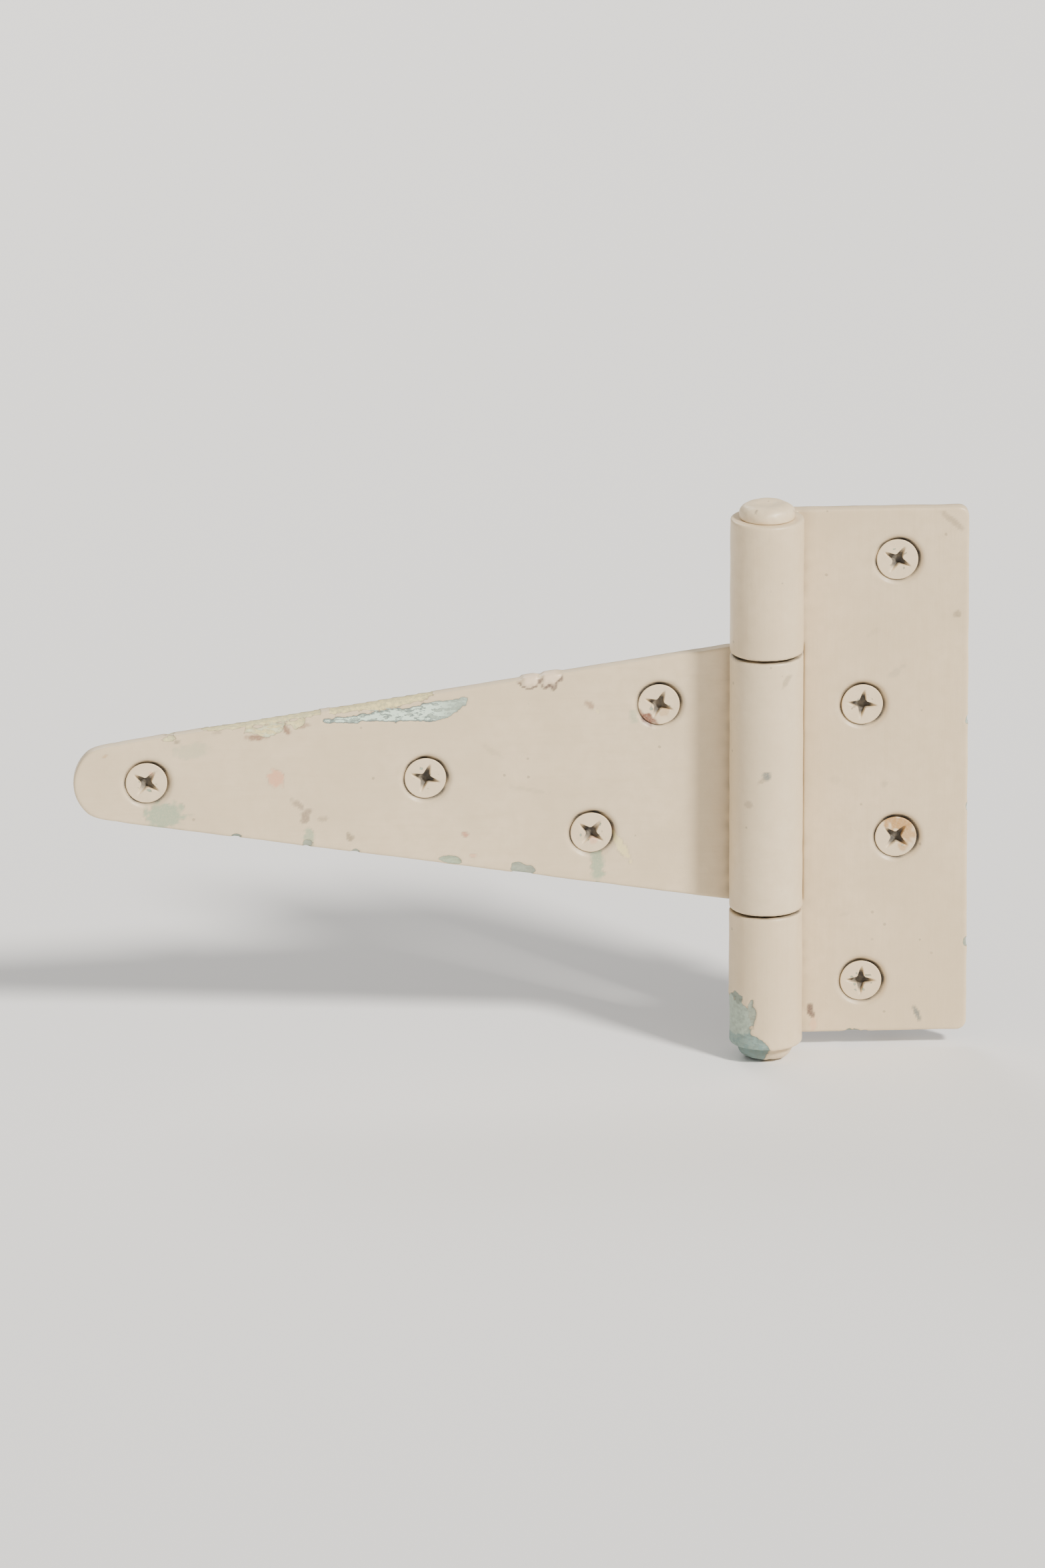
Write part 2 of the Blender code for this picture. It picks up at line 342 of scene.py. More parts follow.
# (x, z, half length, half width, turn in degrees, colour, strength), seen from the front
STRAP_STAINS = [
    (-132.4, -7.6, 4.6, 3.2, 4, PALE_TEAL, 1.0),
    (-126.5, 7.2, 4.0, 1.8, 8, PALE_TEAL, 0.35),
    (-107.9, 0.7, 1.9, 2.1, 20, PINK, 0.85),
    (-103.2, -5.4, 1.8, 0.8, -45, PLUM, 0.5),
    (-101.3, -8.3, 1.0, 1.9, -30, PLUM, 0.6),
    (-97.5, -9.0, 1.2, 0.6, 0, SOOT, 0.4),
    (-100.6, -13.0, 1.2, 2.4, 5, PALE_TEAL, 0.9),
    (-91.6, -13.3, 1.1, 0.7, -50, SOOT, 0.65),
    (-66.2, -13.0, 0.8, 0.6, -40, RED, 0.7),
    (-64.5, -18.0, 0.8, 0.5, 0, PINK, 0.6),
    (-38.7, 16.4, 1.4, 0.8, -50, RED_BROWN, 0.55),
    (-37.0, 14.9, 0.7, 0.5, -50, OLD_CREAM, 0.5),
    (-129.6, 9.5, 0.8, 0.5, 30, SOOT, 0.6),
    (-145.5, 6.4, 0.9, 0.35, 25, RUST, 0.45),
    (-121.0, 11.4, 1.6, 0.4, 10, SOOT, 0.35),
    (-112.4, 10.2, 2.5, 0.7, -2, RED_BROWN, 0.7),
    (-105.6, 11.9, 0.75, 1.4, 35, RED_BROWN, 0.7),
    (-101.9, 12.6, 1.6, 0.6, 12, RED_BROWN, 0.5),
    (-36.9, -20.4, 1.6, 4.2, 2, PALE_TEAL, 1.0),
    (-31.6, -16.6, 0.9, 4.0, 28, OLD_CREAM, 0.9),
    (-33.6, -12.8, 0.5, 1.8, 28, PINK, 0.5),
    (-28.9, 13.6, 1.0, 1.6, 0, PALE_TEAL, 0.6),
    (-25.9, 12.4, 1.8, 0.9, -50, RED_BROWN, 0.9),
    (-52.0, -3.0, 4.5, 0.5, -10, SOOT, 0.16),
    (-60.0, 6.0, 3.0, 0.6, -35, SOOT, 0.14),
    (-0.5, 3.4, 1.1, 1.1, 0, SLATE, 0.8),
    (-1.4, 2.4, 1.2, 0.5, 40, SOOT, 0.4),
    (3.9, 25.0, 0.7, 1.8, -35, SOOT, 0.4),
    (-4.2, -3.4, 0.9, 0.8, 0, PLUM, 0.35),
]
FRAME_STAINS = [
    (10.4, -55.4, 0.8, 2.0, 8, PLUM, 0.95),
    (10.9, -58.6, 0.9, 1.6, 0, PINK, 0.4),
    (34.0, -56.6, 0.6, 1.8, 25, SLATE, 0.85),
    (42.2, 36.1, 0.9, 0.8, 0, SOOT, 0.5),
    (28.9, 22.8, 2.4, 0.8, 35, SLATE, 0.18),
    (15.5, -2.0, 1.5, 1.0, 0, SOOT, 0.12),
    (24.0, 32.0, 2.0, 0.6, 30, SOOT, 0.10),
    (41.3, 57.4, 3.6, 0.75, -42, SOOT, 0.42),
    (26.5, -3.0, 0.9, 0.7, 0, SOOT, 0.22),
    (18.0, -33.0, 1.2, 0.5, 20, SOOT, 0.14),
]
# chips right through the top coats: (x, z, half length, half width, turn, colour beneath)
STRAP_CHIPS = [
    (-131.2, 10.3, 1.2, 0.5, 10, OLD_CREAM),
    (-53.6, -21.4, 2.7, 1.5, -6, TEAL),
    (-69.2, -18.9, 2.1, 1.0, -8, PALE_TEAL),
    (-101.0, -14.6, 1.2, 0.9, 0, TEAL),
    (-90.2, -16.6, 0.9, 0.5, 0, TEAL),
    (-116.5, -12.6, 1.4, 0.5, -8, DEEP_TEAL),
]
FRAME_CHIPS = [
    (-7.2, -54.6, 3.6, 5.4, 0, ICE),
    (-5.4, -59.9, 6.4, 3.9, -22, BLUE_TEAL),
    (-3.6, -52.0, 0.9, 2.6, 0, TEAL),
    (-6.6, -49.6, 0.9, 2.2, 0, DEEP_TEAL),
    (44.9, -40.0, 0.5, 1.3, 0, TEAL),
    (44.9, 12.0, 0.4, 1.0, 0, ICE),
    (44.9, -9.0, 0.4, 0.8, 0, ICE),
    (20.0, -60.5, 2.2, 0.5, 0, DEEP_TEAL),
]
CHIP_ICINESS = 0.1
# paint flaked off along the strap's upper edge: (left x, right x, inset reached at the ends, inset
# reached at most, where that is from 0 to 1, paint left at the very edge, colour beneath, iciness)
EDGE_LOSS = [
    (-98.0, -65.5, 2.6, 6.2, 0.8, 1.9, ICE, 1.0),
    (-96.0, -73.0, 0.5, 1.5, 0.5, -1.0, OLD_CREAM, 0.0),
    (-114.5, -106.0, 1.8, 3.9, 0.6, 1.0, OLD_CREAM, 0.35),
    (-105.2, -101.5, 1.4, 2.7, 0.5, 0.7, OLD_CREAM, 0.1),
    (-124.0, -98.0, 0.2, 0.8, 0.5, -1.0, OLD_CREAM, 0.1),
]
# lifted paint along the upper edge: (x, inset from the edge, half length, half width)
BLISTERS = [(-51.7, 0.3, 2.2, 1.8), (-47.3, 0.3, 2.4, 2.4)]
# marks on single heads, placed from the head's centre: the same seven values as a stain
HEAD_STAINS = {
    "frame_screw_2": [(-0.6, 0.0, 1.1, 0.5, 20, RUST, 0.45)],
    "frame_screw_3": [
        (0.6, 3.0, 3.4, 1.9, -10, RUST, 0.9),
        (2.2, 1.0, 2.2, 2.6, 0, RUST, 0.75),
        (1.6, -2.0, 1.4, 1.4, 0, RUST, 0.6),
    ],
    "strap_screw_3": [
        (-2.6, -3.4, 2.6, 1.2, -45, RED_BROWN, 0.95),
        (1.2, -1.8, 1.0, 1.4, 0, RUST, 0.4),
    ],
    "strap_screw_4": [(0.4, -1.8, 1.0, 1.2, 0, PINK, 0.5)],
    "strap_screw_1": [(0.9, 2.0, 0.5, 0.6, 0, PINK, 0.5)],
}


def waves(p, size, seed, count=26):
    """Smooth noise, mostly from -1 to 1, with bumps about size across."""
    rng = np.random.default_rng(seed)
    ways = rng.normal(size=(count, 3))
    ways *= (2 * pi / size * rng.uniform(0.6, 1.4, count) / np.linalg.norm(ways, axis=1))[:, None]
    shifts = rng.uniform(0, 2 * pi, count)
    total = np.zeros(len(p))
    for way, shift in zip(ways, shifts):
        total += np.cos(p @ way + shift)
    return total / np.sqrt(2 * count)


def ramp(value, low, high):
    """0 up to low, 1 from high on, and a smooth rise between them."""
    t = np.clip((value - low) / (high - low), 0, 1)
    return t * t * (3 - 2 * t)


def nearness(p, x, z, half_x, half_z, turn):
    """1 at a patch's middle, 0 at its outline, negative beyond."""
    c, s = cos(radians(turn)), sin(radians(turn))
    u = (p[:, 0] - x) * c + (p[:, 2] - z) * s
    v = (p[:, 2] - z) * c - (p[:, 0] - x) * s
    return 1 - np.hypot(u / half_x, v / half_z)


def keep_stronger(layer, share, colour, covers=1.0):
    """Adds a stain where it is stronger than what is there, or than the share that always covers."""
    stronger = share > np.minimum(layer[:, 3], covers)
    layer[stronger, :3] = colour
    layer[stronger, 3] = share[stronger]


def keep_deeper(depth, beneath, inside, coat):
    """Adds a chip to the two chip layers where it is deeper than what is there."""
    deeper = inside > depth
    depth[deeper] = inside[deeper]
    beneath[deeper] = coat


def stain_layer(p, front, stains, seed):
    """Red, green, blue and strength of the soft stains."""
    layer = np.zeros((len(p), 4))
    ragged = 0.27 * waves(p, 1.6, seed)
    for *patch, colour, strength in stains:
        share = strength * ramp(nearness(p, *patch) + ragged, -0.15, 0.3) * front
        keep_stronger(layer, share, colour)
    return layer


def chip_layers(p, front, chips, seed):
    """How far inside a chip each point is, in millimetres, and the coat beneath: its colour and
    iciness."""
    depth = np.full(len(p), NO_WEAR)
    beneath = np.tile((*TEAL, CHIP_ICINESS), (len(p), 1))
    ragged = 0.3 * waves(p, 2.2, seed)
    for x, z, half_x, half_z, turn, colour in chips:
        near = nearness(p, x, z, half_x, half_z, turn)
        inside = np.where(front > 0.5, near * min(half_x, half_z) + ragged, NO_WEAR)
        keep_deeper(depth, beneath, inside, (*colour, CHIP_ICINESS))
    return depth, beneath


def edge_loss(p, front):
    """The same two layers for the paint flaked off along the strap's upper edge."""
    inset = -strap_outline(p[:, 0], p[:, 2])
    ragged = 0.30 * waves(p * (1, 1, 1.6), 3.4, 71) + 0.2 * waves(p, 1.2, 72)
    upper = (p[:, 2] > 0) & (front > 0.5) & (p[:, 0] < -BARREL)
    depth = np.full(len(p), NO_WEAR)
    beneath = np.zeros((len(p), 4))
    for left, right, narrow, most, widest, lip, colour, icy in EDGE_LOSS:
        along = (p[:, 0] - left) / (right - left)
        rise = np.clip(along / widest, 0, 1) ** 1.1
        rise *= np.clip((1 - along) / (1 - widest), 0, 1) ** 0.5
        ends = np.minimum(p[:, 0] - left, right - p[:, 0])
        within = np.minimum(inset - lip, ends)
        within = np.minimum(narrow + (most - narrow) * rise - inset, within)
        keep_deeper(depth, beneath, np.where(upper, within + ragged, NO_WEAR), (*colour, icy))
    beneath[:, 3] *= 1 - 0.65 * ramp(p[:, 0], -74, -69)
    return depth, beneath


def blister_layers(p, front):
    """How far the blisters on the strap's edge lift each point, from 0 to 1, and their cracks."""
    inset = -strap_outline(p[:, 0], p[:, 2])
    ragged = 0.2 * waves(p, 1.7, 61)
    lifted, cracked = np.zeros(len(p)), np.zeros(len(p))
    upper = front * (p[:, 2] > 0)
    for x, depth, half_x, half_z in BLISTERS:
        away = np.hypot((p[:, 0] - x) / half_x, (inset - depth) / half_z) + ragged
        lifted = np.maximum(lifted, upper * ramp(1 - away, 0, 0.5))
        crack = ramp(0.2 - np.abs(away - 1.0), 0, 0.1) * ramp(inset - depth, -0.3, 0.3)
        cracked = np.maximum(cracked, upper * crack)
    return lifted, cracked


def unpainted(p, normal, outline):
    """Positive on the back and in the bore, where the brush never reached."""
    inset = -outline(p[:, 0], p[:, 2])
    creep = 1.1 + 0.8 * waves(p, 12, 5) + 0.25 * waves(p, 3, 6)
    behind = np.where((normal[:, 1] > 0.5) & (p[:, 1] > BORE + 0.5), inset - creep, NO_WEAR)
    radius = np.hypot(p[:, 0], p[:, 1])
    inwards = -(p[:, 0] * normal[:, 0] + p[:, 1] * normal[:, 1]) / np.maximum(radius, 0.1)
    return np.where((radius < BORE + 0.9) & (inwards > 0.5), 2.0, behind)


def hole_dirt_and_shade(p, x, z):
    """Painted shade, with some dirt, down one screw's countersink and in a thin ring on its rim;
    round the hole at the back it gathers rust.
    """
    ring = np.hypot(p[:, 0] - x, p[:, 2] - z)
    depth = p[:, 1] - BORE
    sink = (ring < SINK_RADIUS) * (depth < 2.8) * 0.85 * ramp(depth, 0.35, 0.8)
    rim = 0.12 * np.exp(-np.abs(ring - SINK_RADIUS) / 0.4)
    behind = (depth > 2.5) * np.exp(-np.maximum(ring - HOLE_RADIUS, 0) / 2.2)
    return np.maximum(np.maximum(sink, rim), behind)


def crevice_dirt_and_shade(p, kind, side):
    """Painted shade, with some dirt, in the crease beside the barrel, on the knuckles' ends and
    round the screws; it also rises towards the back, where on the bare steel it gathers rust.
    """
    seam = np.hypot(side * p[:, 0] - SEAM_X, p[:, 1] - SEAM_Y)
    dirt_and_shade = 0.55 * np.exp(-seam / 0.9)
    ends = KNUCKLE_HALF + KNUCKLE_GAP / 2
    barrel = np.hypot(p[:, 0], p[:, 1]) < BARREL + 0.3
    off_end = np.abs(np.abs(p[:, 2]) - ends)
    dirt_and_shade = np.maximum(dirt_and_shade, barrel * 0.9 * ramp(-off_end, -0.55, -0.15))
    behind = ramp(p[:, 1], BARREL - 1.5, BARREL - 0.2) * ramp(side * p[:, 0], 0, 6)
    dirt_and_shade = np.maximum(dirt_and_shade, 0.35 * behind)
    for name, (x, z, *_) in SCREWS.items():
        if name.startswith(kind):
            dirt_and_shade = np.maximum(dirt_and_shade, hole_dirt_and_shade(p, x, z))
    return np.clip(dirt_and_shade * (1 + 0.5 * waves(p, 4, 9)), 0, 1)


def write_layer(mesh, name, values):
    """Stores one number, or one colour, at each point."""
    kind = "FLOAT" if values.ndim == 1 else "FLOAT_COLOR"
    layer = mesh.attributes.new(name, kind, "POINT")
    key = "value" if values.ndim == 1 else "color"
    layer.data.foreach_set(key, values.astype(np.float32).ravel())


def write_wear_and_shade(mesh, chip, beneath, bare, stain, dirt_and_shade):
    """Stores the five layers that painted_steel reads."""
    write_layer(mesh, "chip", chip)
    write_layer(mesh, "beneath", beneath)
    write_layer(mesh, "bare", bare)
    write_layer(mesh, "stain", stain)
    write_layer(mesh, "dirt_and_shade", dirt_and_shade)


# ---------------------------------------------------------------- pieces


def show(name, mesh, node, body, material):
    """Adds a finished mesh as the piece that stands for a CAD node."""
    piece = bpy.data.objects.new(name, mesh)
    bpy.context.scene.collection.objects.link(piece)
    mesh.materials.clear()
    mesh.materials.append(material)
    mesh.shade_smooth()
    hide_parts(node)
    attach(piece, body)


def unit(vectors):
    """Each row brought to length 1."""
    return vectors / np.maximum(np.linalg.norm(vectors, axis=1), 1e-9)[:, None]


def strap_edge_wear(p, front, chip, beneath, lift, stain):
    """Adds the flaked strip and the blisters on the strap's upper edge to the leaf's layers."""
    lost, lost_beneath = edge_loss(p, front)
    stronger = lost > chip
    chip[stronger] = lost[stronger]
    beneath[stronger] = lost_beneath[stronger]
    lifted, cracked = blister_layers(p, front)
    lift += 0.42 * lifted
    keep_stronger(stain, 0.8 * lifted, LIFTED, covers=0.7)
    keep_stronger(stain, 0.95 * cracked, PLUM, covers=0.7)


def build_leaf(kind, side, outline, stains, chips, tone, stroke, seed):
    """The frame or strap leaf in its worn paint: exact shape, chips, blisters, and wear and
    painted-shade layers.
    """
    node = f"{kind}_leaf"
    mesh = remeshed(welded_copy(node), LEAF_VOXEL)
    shape = leaf_shape(kind, side, outline)
    set_points(mesh, (get_points(mesh) - PIN) / MM)
    p = fitted(mesh, shape)
    normal = unit(slopes(shape, p))
    front = (normal[:, 1] < 0.55).astype(float)
    chip, beneath = chip_layers(p, front, chips, seed)
    stain = stain_layer(p, front, stains, seed + 3)
    lift = 0.05 * waves(p, 9, seed + 1) + 0.015 * waves(p, 3, seed + 2)
    if kind == "strap":
        strap_edge_wear(p, front, chip, beneath, lift, stain)
    lift += 0.05 * ramp(chip, -0.9, -0.1) - 0.22 * ramp(chip, -0.12, 0.18)
    bare = unpainted(p, normal, outline)
    lift *= ramp(-bare, -0.5, 0.5)
    set_points(mesh, (p + normal * lift[:, None]) * MM + PIN)
    write_wear_and_shade(mesh, chip, beneath, bare, stain, crevice_dirt_and_shade(p, kind, side))
    material = painted_steel(f"{kind}_paint", tone, stroke)
    show(f"{kind}_leaf_painted", mesh, node, f"{kind}_side", material)


def lathe(profile, sides):
    """A closed turned mesh about Z from (radius, z) points that begin and end on the axis."""
    bm = bmesh.new()
    turns = [2 * pi * i / sides for i in range(sides)]
    rings = []
    for radius, z in profile[1:-1]:
        rings.append([bm.verts.new((radius * cos(a), radius * sin(a), z)) for a in turns])
    for ring, following in zip(rings, rings[1:]):
        for i in range(sides):
            j = (i + 1) % sides
            bm.faces.new((ring[i], ring[j], following[j], following[i]))
    for ring, (_, z) in ((rings[0], profile[0]), (rings[-1], profile[-1])):
        centre = bm.verts.new((0, 0, z))
        for i in range(sides):
            bm.faces.new((ring[i], ring[(i + 1) % sides], centre))
    bmesh.ops.recalc_face_normals(bm, faces=bm.faces)
    mesh = bpy.data.meshes.new("lathe")
    bm.to_mesh(mesh)
    bm.free()
    return mesh


def screw_profile():
    """(radius, depth) down one side of a screw, closely spaced where there is detail."""
    face = [(0.07 * k, 0.0) for k in range(1, 44)]
    face += [(r, 0.0) for r in (3.3, 3.7, 4.05, 4.3)]
    middle = HEAD_RADIUS - HEAD_BEND * (HEAD_SLOPE + 1 / cos(HEAD_ANGLE))
    turns = [(pi / 2 + HEAD_ANGLE) * k / 8 for k in range(9)]
    rim = [(middle + HEAD_BEND * sin(a), HEAD_BEND - HEAD_BEND * cos(a)) for a in turns]
    cone_end = (HEAD_RADIUS - SHANK_RADIUS) / HEAD_SLOPE
    cone = [(HEAD_RADIUS - HEAD_SLOPE * d, d) for d in np.linspace(0.7, cone_end - 0.1, 9)]
    shank = [(SHANK_RADIUS, d) for d in np.arange(cone_end + 0.1, THREAD_TOP, 0.7)]
    threaded = [(SHANK_RADIUS, d) for d in np.arange(THREAD_TOP, SCREW_LENGTH, 0.19)]
    return [(0, 0), *face, *rim, *cone, *shank, *threaded, (0, SCREW_LENGTH)]


def thread_radius(depth, turn):
    """The threaded part's radius: a ridge that winds round the root and runs out at the point."""
    place = ((depth - THREAD_TOP) / THREAD_PITCH - turn / (2 * pi)) % 1
    ridge = np.clip(1 - np.abs(place - 0.5) / 0.3, 0, 1) ** 0.8
    started = np.clip((depth - THREAD_TOP) / 1.5, 0, 1)
    point = np.clip((SCREW_LENGTH + 0.3 - depth) / POINT_LENGTH, 0.02, 1) ** 0.8
    root = SHANK_RADIUS + (ROOT_RADIUS - SHANK_RADIUS) * started
    return (root + (SHANK_RADIUS - ROOT_RADIUS) * ridge * started) * point


def recess_depth(p, fill):
    """The driver recess: four arms that narrow and rise towards their ends, two of them partly
    filled with paint."""
    u, v = np.abs(p[:, 0]), np.abs(p[:, 1])
    along, beside = np.maximum(u, v), np.minimum(u, v)
    arms = RECESS_ARM - RECESS_TAPER * along - beside
    inside = np.maximum(arms, RECESS_CENTRE - np.hypot(u, v))
    floor = np.clip(RECESS_DEPTH + 0.5 - RECESS_RISE * along, 0, RECESS_DEPTH)
    floor *= np.where(u > v, 1, 1 - fill * ramp(along, 0.5, 1.3))
    return floor * ramp(inside, -0.04, 0.22)


def cut_screw(blank, fill):
    """Cuts the recess and winds the thread on a turned blank."""
    across, depth = np.hypot(blank[:, 0], blank[:, 1]), blank[:, 2]
    turn = np.arctan2(blank[:, 1], blank[:, 0])
    wanted = np.where(depth >= THREAD_TOP, thread_radius(depth, turn), across)
    scale = np.where(across > 0.01, wanted / np.maximum(across, 0.01), 1)
    on_recess = (depth < 0.01) & (across < 3.2)
    points = blank * np.column_stack((scale, scale, np.ones(len(blank))))
    points[:, 2] += np.where(on_recess, recess_depth(blank, fill), 0)
    return points


def screw_rotation(turn, tilt_across, tilt_up):
    """Points a screw that lies along Z into the leaf, with its own turn and tilts in degrees."""
    stand = Matrix.Rotation(-pi / 2, 3, "X") @ Matrix.Rotation(radians(turn), 3, "Z")
    across = Matrix.Rotation(radians(tilt_across), 3, "Z")
    return np.array(across @ Matrix.Rotation(radians(tilt_up), 3, "X") @ stand).T


def place_screw(local, name, seed):
    """A screw's points in its hole, its face a little uneven, off centre to the lower left."""
    x, z, *angles = SCREWS[name]
    across, depth = np.hypot(local[:, 0], local[:, 1]), local[:, 2]
    swell = 0.05 * waves(local + seed, 4, seed) * (depth < 0.5) * ramp(across, 5.0, 4.2)
    uneven = np.column_stack((local[:, :2], depth - swell))
    shift = np.random.default_rng(seed).uniform(-0.03, 0.03, 2)
    centre = (x - 0.09 + shift[0], BORE + SUNK, z - 0.08 + shift[1])
    return uneven @ screw_rotation(*angles) + centre


def wear_and_shade_screw(mesh, local, placed, on_face, name, seed):
    """Writes a screw's wear: painted head, bare shank, painted shade with some dirt in the recess,
    its own marks.
    """
    across, depth = np.hypot(local[:, 0], local[:, 1]), local[:, 2]
    bare = depth - 0.75 + 0.35 * waves(placed, 2.5, seed)
    bare = np.where(on_face, NO_WEAR, bare)
    # painted shade with some dirt: darker deeper in the recess, and down the head's rim and cone
    dirt_and_shade = np.where(on_face, ramp(depth, 0.25, 1.3), 0.5 * ramp(depth, 0.25, 0.7))
    scuffed = 0.45 * waves(placed, 1.5, seed + 50) - 0.75 + 0.35 * (across < 2.6)
    chip = np.where(depth < 0.5, scuffed, NO_WEAR)
    beneath = np.tile((*PALE_TEAL, 0.2), (len(local), 1))
    x, z = SCREWS[name][:2]
    marks = [(x + dx, z + dz, *rest) for dx, dz, *rest in HEAD_STAINS.get(name, [])]
    stain = stain_layer(placed, (depth < 1.6).astype(float), marks, seed)
    write_wear_and_shade(mesh, chip, beneath, bare, stain, dirt_and_shade)


def build_screws(material):
    """All eight screws from one mesh, each turned, tilted and worn in its own way."""
    base = lathe(screw_profile(), TURNED_SIDES)
    blank = get_points(base)
    on_face = blank[:, 2] < 0.01
    for seed, name in enumerate(SCREWS, 100):
        mesh = base.copy()
        local = cut_screw(blank, RECESS_FILL.get(name, USUAL_FILL))
        placed = place_screw(local, name, seed)
        set_points(mesh, placed * MM + PIN)
        wear_and_shade_screw(mesh, local, placed, on_face, name, seed)
        body = "frame_side" if name.startswith("frame") else "strap_side"
        show(f"{name}_worn", mesh, name, body, material)


def pin_profile():
    """(radius, height) from the top's middle down to the middle of the pin."""
    foot, flat = FRAME_HALF + 0.06, PIN_HEAD_FLAT
    top = [(flat * k / 14, foot + PIN_HEAD_HEIGHT) for k in range(15)]
    width, rise = PIN_HEAD_RADIUS - flat, PIN_HEAD_HEIGHT - PIN_SKIRT
    turns = [pi / 2 * k / 20 for k in range(1, 21)]
    heights = [foot + PIN_SKIRT + rise * max(cos(a), 0) ** 0.8 for a in turns]
    shoulder = [(flat + width * sin(a), z) for a, z in zip(turns, heights)]
    skirt = [(PIN_HEAD_RADIUS, foot + PIN_SKIRT * (1 - k / 5)) for k in range(1, 5)]
    neck = [(PIN_HEAD_RADIUS - 0.12, foot + 0.02), (4.75, foot), (PIN_RADIUS, foot - 0.4)]
    shank = [(PIN_RADIUS, z) for z in range(58, 0, -1)]
    return [*top, *shoulder, *skirt, *neck, *shank]


def build_pin(material):
    """The pin with its two hammered heads, painted over with the barrel."""
    half = pin_profile()
    mirrored = [(r, -z) for r, z in reversed(half)]
    mesh = lathe([*half, (PIN_RADIUS, 0), *mirrored], TURNED_SIDES)
    p = get_points(mesh)
    radius, height = np.hypot(p[:, 0], p[:, 1]), np.abs(p[:, 2])
    on_head = height > FRAME_HALF
    beyond = p[:, 2] - np.sign(p[:, 2]) * PIN_BULGE
    outside = unit(np.column_stack((p[:, 0], p[:, 1], beyond)))
    lift = on_head * (0.09 * waves(p, 5, 31) + 0.05 * waves(p, 2, 32))
    lift -= 0.32 * ramp(-radius, -3.1, -1.2) * (p[:, 2] > FRAME_HALF)
    lift *= ramp(height, FRAME_HALF + 0.2, FRAME_HALF + 0.8)
    low = p[:, 2] < -FRAME_HALF
    worn_foot = -0.7 * p[:, 0] + 0.9 * waves(p, 5, 33) - 0.2
    chip = np.where(low, worn_foot, -0.7 + 0.45 * waves(p, 4, 34))
    beneath = np.where(low[:, None], (*BLUE_TEAL, 0.0), (*PALE_TEAL, 0.3))
    # painted shade where the heads meet the barrel's ends, the lower head a little darker all over,
    # and on the bare shank more rust
    seam = 0.4 * ramp(-np.abs(height - FRAME_HALF), -0.5, 0)
    dirt_and_shade = np.where(on_head, np.maximum(seam, 0.2 * low), 0.9)
    bare = np.where(on_head, NO_WEAR, 2.0)
    no_stain = np.zeros((len(p), 4))
    set_points(mesh, (p + outside * lift[:, None]) * MM + PIN)
    write_wear_and_shade(mesh, chip, beneath, bare, no_stain, dirt_and_shade)
    show("hinge_pin_worn", mesh, "hinge_pin", "frame_side", material)


# ---------------------------------------------------------------- materials


class Graph:
    """Short names for the shader nodes used here."""

    def __init__(self, name):
        self.material = bpy.data.materials.new(name)
        self.material.use_nodes = True
        self.nodes = self.material.node_tree.nodes
        self.links = self.material.node_tree.links
        self.shader = self.nodes["Principled BSDF"]

    def put(self, socket, value):
        """Links another node's output to a socket, or sets the socket's own value."""
        if isinstance(value, bpy.types.NodeSocket):
            self.links.new(value, socket)
        else:
            socket.default_value = value

    def maths(self, operation, a, b=0.0):
        node = self.nodes.new("ShaderNodeMath")
        node.operation = operation
        self.put(node.inputs[0], a)
        self.put(node.inputs[1], b)
        return node.outputs[0]

    def stretched(self, vector, scale):
        """Coordinates multiplied by three factors."""
        node = self.nodes.new("ShaderNodeVectorMath")
        node.operation = "MULTIPLY"
        self.put(node.inputs[0], vector)
        node.inputs[1].default_value = scale
        return node.outputs[0]

    def noise(self, vector, scale, detail=2.0, roughness=0.5):
        node = self.nodes.new("ShaderNodeTexNoise")
        self.put(node.inputs["Vector"], vector)
        node.inputs["Scale"].default_value = scale
        node.inputs["Detail"].default_value = detail
        node.inputs["Roughness"].default_value = roughness
        return node.outputs["Fac"]

    def layer(self, name, output="Fac"):
        """One of the wear and painted-shade layers stored at the mesh's points."""
        node = self.nodes.new("ShaderNodeAttribute")
        node.attribute_name = name
        return node.outputs[output]

    def step(self, value, low, high, to_low=0.0, to_high=1.0):
        """A smooth change from to_low, where value is low, to to_high, where it is high."""
        node = self.nodes.new("ShaderNodeMapRange")
        node.interpolation_type = "SMOOTHSTEP"
        self.put(node.inputs["Value"], value)
        node.inputs["From Min"].default_value = low
        node.inputs["From Max"].default_value = high
        node.inputs["To Min"].default_value = to_low
        node.inputs["To Max"].default_value = to_high
        return node.outputs["Result"]

    def mix(self, share, a, b):
        """Colour a going over to b as the share goes from 0 to 1."""
        # a Mix node's colours are its inputs 6 and 7 and its output 2
        node = self.nodes.new("ShaderNodeMix")
        node.data_type = "RGBA"
        self.put(node.inputs[0], share)
        for socket, value in ((node.inputs[6], a), (node.inputs[7], b)):
            is_socket = isinstance(value, bpy.types.NodeSocket)
            self.put(socket, value if is_socket else (*value, 1.0))
        return node.outputs[2]

    def total(self, *terms):
        """The sum of (value, factor) pairs."""
        result = 0.0
        for value, factor in terms:
            node = self.nodes.new("ShaderNodeMath")
            node.operation = "MULTIPLY_ADD"
            self.put(node.inputs[0], value)
            self.put(node.inputs[1], factor)
            self.put(node.inputs[2], result)
            result = node.outputs[0]
        return result


